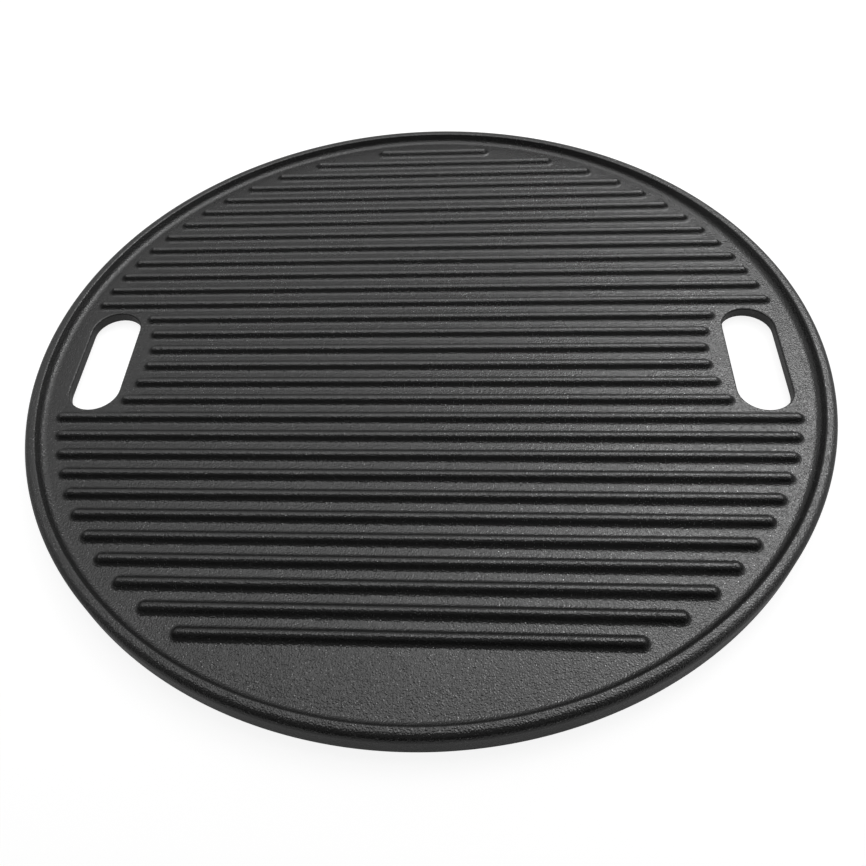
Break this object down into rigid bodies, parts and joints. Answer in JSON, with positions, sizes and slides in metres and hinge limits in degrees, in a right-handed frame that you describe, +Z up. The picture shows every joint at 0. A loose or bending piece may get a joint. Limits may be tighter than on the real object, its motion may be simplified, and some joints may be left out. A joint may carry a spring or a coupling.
{
  "type": "reversible griddle plate",
  "caption": "Round cast iron griddle plate with a rim, parallel cooking ribs on one face, a smooth face on the other and hand slots through its web.",
  "frame": {"origin": "middle of the circle, in the plane of the smooth side's rim crest, which is the face that it stands on with the ribs up", "axes": "+Z up through the ribbed face; X runs along the ribs and through both hand slots; -Y points to the bare strip of floor that has no ribs"},
  "size_m": [0.35, 0.35, 0.0115],
  "materials": {
    "cast_iron": "black seasoned cast iron, satin sheen over a fine sand-cast grain"
  },
  "bodies": {
    "root": {"griddle_plate": "cast_iron"}
  },
  "joints": []
}
